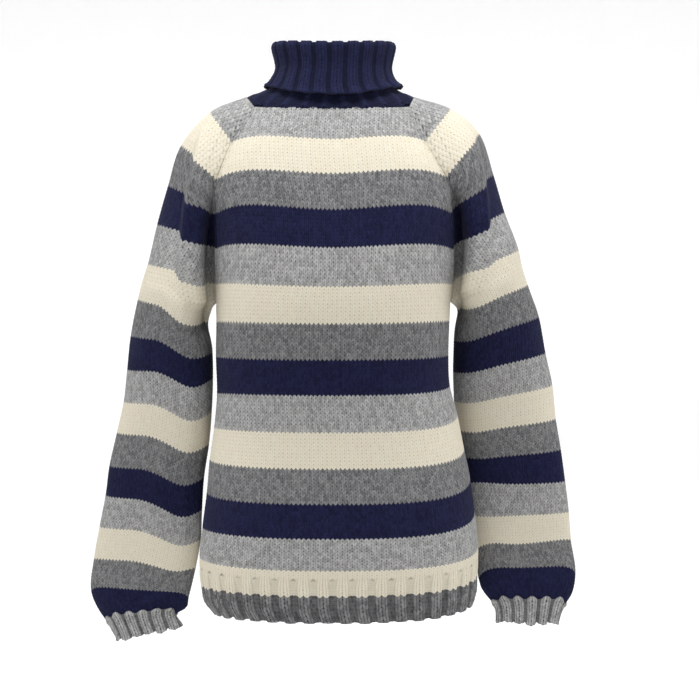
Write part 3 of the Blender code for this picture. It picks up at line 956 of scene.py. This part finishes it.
def wool(name, wools, rib=0.0, rib_start=0.0, wrong_side=0.0):
    """A knitted wool in stripes, from the courses at which each of its wools starts."""
    made = bpy.data.materials.new(name)
    made.use_nodes = True
    tree = made.node_tree
    tree.nodes.clear()
    w = Wiring(tree)
    stitches, seam = (w.add("UVMap", uv_map=name).outputs[0] for name in ("stitches", "seam"))
    given = {"Stitches": stitches, "Seam": seam, "Rib": rib, "Rib Start": rib_start, "Wrong Side": wrong_side}
    stitch = w.add("Group", given, node_tree=knitted_stitch).outputs
    course = w.parts(stitches)[1]
    at = w.math("DIVIDE", w.math("FLOORED_MODULO", course, ROUND), ROUND)

    def each(fact):
        """A fact of each wool, over the courses knitted in it."""
        stops = [(start / ROUND, np.broadcast_to(getattr(one, fact), 3)) for start, one in wools]
        return w.steps(at, stops + [(1.0, stops[-1][1])])

    amount = w.times(stitch["Heather"], each("showing"))
    mixed = {0: amount, 6: each("colour"), 7: each("hairs")}
    heather = w.add("Mix", mixed, data_type="RGBA").outputs[2]
    # the painted shade of the gaps and of a rib's valleys darkens the mixed colour
    gaps = w.times(stitch["Gap"], each("gaps"))
    valleys = w.times(stitch["Valley"], each("valleys"))
    shade = w.times(w.rest(gaps), w.rest(valleys))
    shades = w.add("CombineXYZ", {0: shade, 1: shade, 2: shade}).outputs[0]
    shaded = w.add("VectorMath", {0: heather, 1: shades}, operation="MULTIPLY").outputs[0]
    bumps = {"Strength": BUMP_STRENGTH, "Distance": BUMP, "Height": stitch["Height"]}
    looks = {
        "Base Color": shaded,
        "Roughness": ROUGHNESS,
        "Specular IOR Level": GLOSS,
        "Sheen Weight": SHEEN,
        "Sheen Roughness": SHEEN_ROUGHNESS,
        "Normal": w.add("Bump", bumps).outputs[0],
    }
    w.add("OutputMaterial", {0: w.add("BsdfPrincipled", looks).outputs[0]})
    return made


def both_sides(name, wools, rib=0.0, rib_start=0.0):
    """The wool as it looks on the right side and on the wrong side."""
    return [wool(name, wools, rib, rib_start), wool(name + " inside", wools, rib, rib_start, wrong_side=1.0)]


STRIPED = both_sides("striped wool", STRIPES)
HEM = both_sides("hem wool", HEM_WOOLS, rib=1.0, rib_start=HEM_TOP)
CUFF = both_sides("cuff wool", [(0, LIGHT_GREY)], rib=1.0)
NECK = both_sides("neck wool", [(0, NECK_NAVY_PAINTED_LIGHTER)], rib=1.0)


# -------------------- the pieces

STITCH = 5.6  # width of a stitch
CUFF_STITCH = 4.1  # in the drawn-in rib of a cuff
NECK_STITCH = 4.9  # in the roll neck's rib

BODY_WIDTHS = [(0, 19), (UNDERARM * STRIPE, 40), (HEM_RIB * STRIPE, 40)]
SLEEVE_WIDTHS = [(0, 7), (10, 13), (20, 18), (UNDERARM * STRIPE, 32), (CUFF_RIB * STRIPE, 31)]
HEM_WIDTHS = [(HEM_TOP, 40), (HEM_EDGE * STRIPE, 40)]
CUFF_WIDTHS = [(CUFF_RIB * STRIPE, 24), (CUFF_EDGE * STRIPE, 24)]
NECK_WIDTH = 44
RAGLAN_HOLES = (1.0, 2, 23)  # stitches in from the seam, first and last course
SHOULDER_HOLES = (3.4, 10, 20)
HEM_RIBBING = Ribbing(2.6, gather=0.3, grows=5.0, flare=0.15, scallop=0.6)
CUFF_RIBBING = Ribbing(3.0, gather=0.55, grows=0.4, lap=1.0, flare=0.3, scallop=2.2)
NECK_RIBBING = Ribbing(1.6, gather=0.5, flare=0.5, scallop=1.0)
CUFF_LAP = 0.12  # stripes by which the cuffs' plain columns rise over the sleeves' ends
LEAN_ROOM = 0.05  # stripes by which the stitches lean over the line between body and hem


def finish_piece(piece, wools, node, knitting, stitch=STITCH):
    """Dresses a knitted piece and puts it in its node's place; the area it was cut to is worked out but not
    used.
    """
    for material in wools:
        piece.data.materials.append(material)
    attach(piece, "root")
    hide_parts(node)
    area = knitting.stitches() * stitch * COURSE * MM * MM


for face in ("front", "back"):
    name = "knitted_" + face
    knitting = Knitting(BODY_WIDTHS, 0, HEM_TOP, [RAGLAN_HOLES], joined="below")
    form = form_of(body_course, 0.0, HEM_TOP / STRIPE + LEAN_ROOM, face)
    finish_piece(knitting.knit(name, form), STRIPED, face, knitting)

    knitting = Knitting(HEM_WIDTHS, HEM_TOP, HEM_EDGE * STRIPE, joined="above", ribbing=HEM_RIBBING)
    form = form_of(body_course, HEM_TOP / STRIPE - LEAN_ROOM, HEM_EDGE, face)
    piece = knitting.knit("ribbed_hem_" + face, form)
    finish_piece(piece, HEM, "hem_" + face, knitting)

for side in ("right", "left"):
    name = "knitted_sleeve_" + side
    knitting = Knitting(SLEEVE_WIDTHS, 0, CUFF_RIB * STRIPE, [RAGLAN_HOLES, SHOULDER_HOLES])
    form = form_of(sleeve_course, 0.0, CUFF_RIB, side)
    piece = knitting.knit(name, form)
    finish_piece(piece, STRIPED, "sleeve_" + side, knitting)

    knitting = Knitting(CUFF_WIDTHS, CUFF_RIB * STRIPE, CUFF_EDGE * STRIPE, ribbing=CUFF_RIBBING)
    form = form_of(sleeve_course, CUFF_RIB - CUFF_LAP, CUFF_EDGE, side)
    piece = knitting.knit("ribbed_cuff_" + side, form)
    finish_piece(piece, CUFF, "cuff_" + side, knitting, CUFF_STITCH)

form, courses = collar_form()
knitting = Knitting([(0, NECK_WIDTH), (courses, NECK_WIDTH)], 0, courses, ribbing=NECK_RIBBING)
piece = knitting.knit("knitted_collar", form)
finish_piece(piece, NECK, "collar", knitting, NECK_STITCH)


# -------------------- floor, light and camera

FLOOR_Z = -1.25
FLOOR_RADIUS = 2.6
COVE = 1.0  # radius of the cove in which the floor turns up into a wall
COVE_POINTS = 9
WALL_TOP = 2.6  # over the floor
TURN_STEPS = 64
FLOOR_COLOUR = (0.92, 0.92, 0.92)
FLOOR_GLOW = 0.2
LAMPS = (  # name, place, target, size and power
    ("top", (0, -0.9, 2.3), (0, 0, -0.1), 1.2, 44),
    ("shoulders", (0, -0.4, 0.85), (0, -0.05, -0.05), 0.5, 11),
    ("front", (0, -2.3, -0.4), (0, 0, -0.3), 1.2, 2),
    ("right", (-2.2, 0.1, 0.3), (0, 0, -0.3), 1.2, 20),
    ("left", (2.2, 0.1, 0.3), (0, 0, -0.3), 1.2, 22),
    ("back", (0.3, 2.2, 1.0), (0, 0, -0.3), 1.2, 30),
)
SURROUNDING_LIGHT = 0.04
CAMERA_PLACE = (0.022, -1.65, -0.221)
CAMERA_TILT = math.radians(3.45)  # down from level
CAMERA_ANGLE = math.radians(30.8)


def floor_material():
    """A pale matt material that shines a little itself."""
    made = bpy.data.materials.new("pale floor")
    made.use_nodes = True
    shader = made.node_tree.nodes["Principled BSDF"]
    shader.inputs["Base Color"].default_value = (*FLOOR_COLOUR, 1)
    shader.inputs["Roughness"].default_value = 1.0
    shader.inputs["Specular IOR Level"].default_value = 0.0
    shader.inputs["Emission Color"].default_value = (1, 1, 1, 1)
    shader.inputs["Emission Strength"].default_value = FLOOR_GLOW
    return made


def floor_bowl():
    """A round floor that turns up into a wall all round."""
    turns = np.linspace(0, math.pi / 2, COVE_POINTS)[1:]
    profile = [(0, 0), (FLOOR_RADIUS, 0)]
    profile += [(FLOOR_RADIUS + COVE * math.sin(turn), COVE - COVE * math.cos(turn)) for turn in turns]
    profile.append((FLOOR_RADIUS + COVE, WALL_TOP))
    bowl = bmesh.new()
    line = [bowl.verts.new((radius, 0, z + FLOOR_Z)) for radius, z in profile]
    edges = [bowl.edges.new(pair) for pair in zip(line, line[1:])]
    whole = {"cent": (0, 0, 0), "axis": (0, 0, 1), "angle": 2 * math.pi, "steps": TURN_STEPS}
    bmesh.ops.spin(bowl, geom=line + edges, use_merge=True, **whole)
    bmesh.ops.remove_doubles(bowl, verts=bowl.verts[:], dist=1e-4)
    bmesh.ops.recalc_face_normals(bowl, faces=bowl.faces[:])
    mesh = bpy.data.meshes.new("floor")
    bowl.to_mesh(mesh)
    bowl.free()
    mesh.shade_smooth()
    mesh.materials.append(floor_material())
    return mesh


def area_light(name, place, target, size, power):
    """A soft square light that faces its target."""
    light = bpy.data.lights.new(name, "AREA")
    light.shape = "SQUARE"
    light.size = size
    light.energy = power
    lamp = put(name, light)
    lamp.visible_camera = False
    lamp.location = place
    lamp.rotation_euler = (Vector(target) - Vector(place)).to_track_quat("-Z", "Y").to_euler()


put("floor", floor_bowl())

for lamp in LAMPS:
    area_light(*lamp)

world = bpy.data.worlds.new("studio")
bpy.context.scene.world = world
world.use_nodes = True
world.node_tree.nodes["Background"].inputs["Color"].default_value = (1, 1, 1, 1)
world.node_tree.nodes["Background"].inputs["Strength"].default_value = SURROUNDING_LIGHT

camera = put("camera", bpy.data.cameras.new("camera"))
bpy.context.scene.camera = camera
camera.location = CAMERA_PLACE
camera.data.angle = CAMERA_ANGLE
camera.rotation_euler = (math.pi / 2 - CAMERA_TILT, 0, 0)
bpy.context.scene.view_settings.view_transform = "Standard"
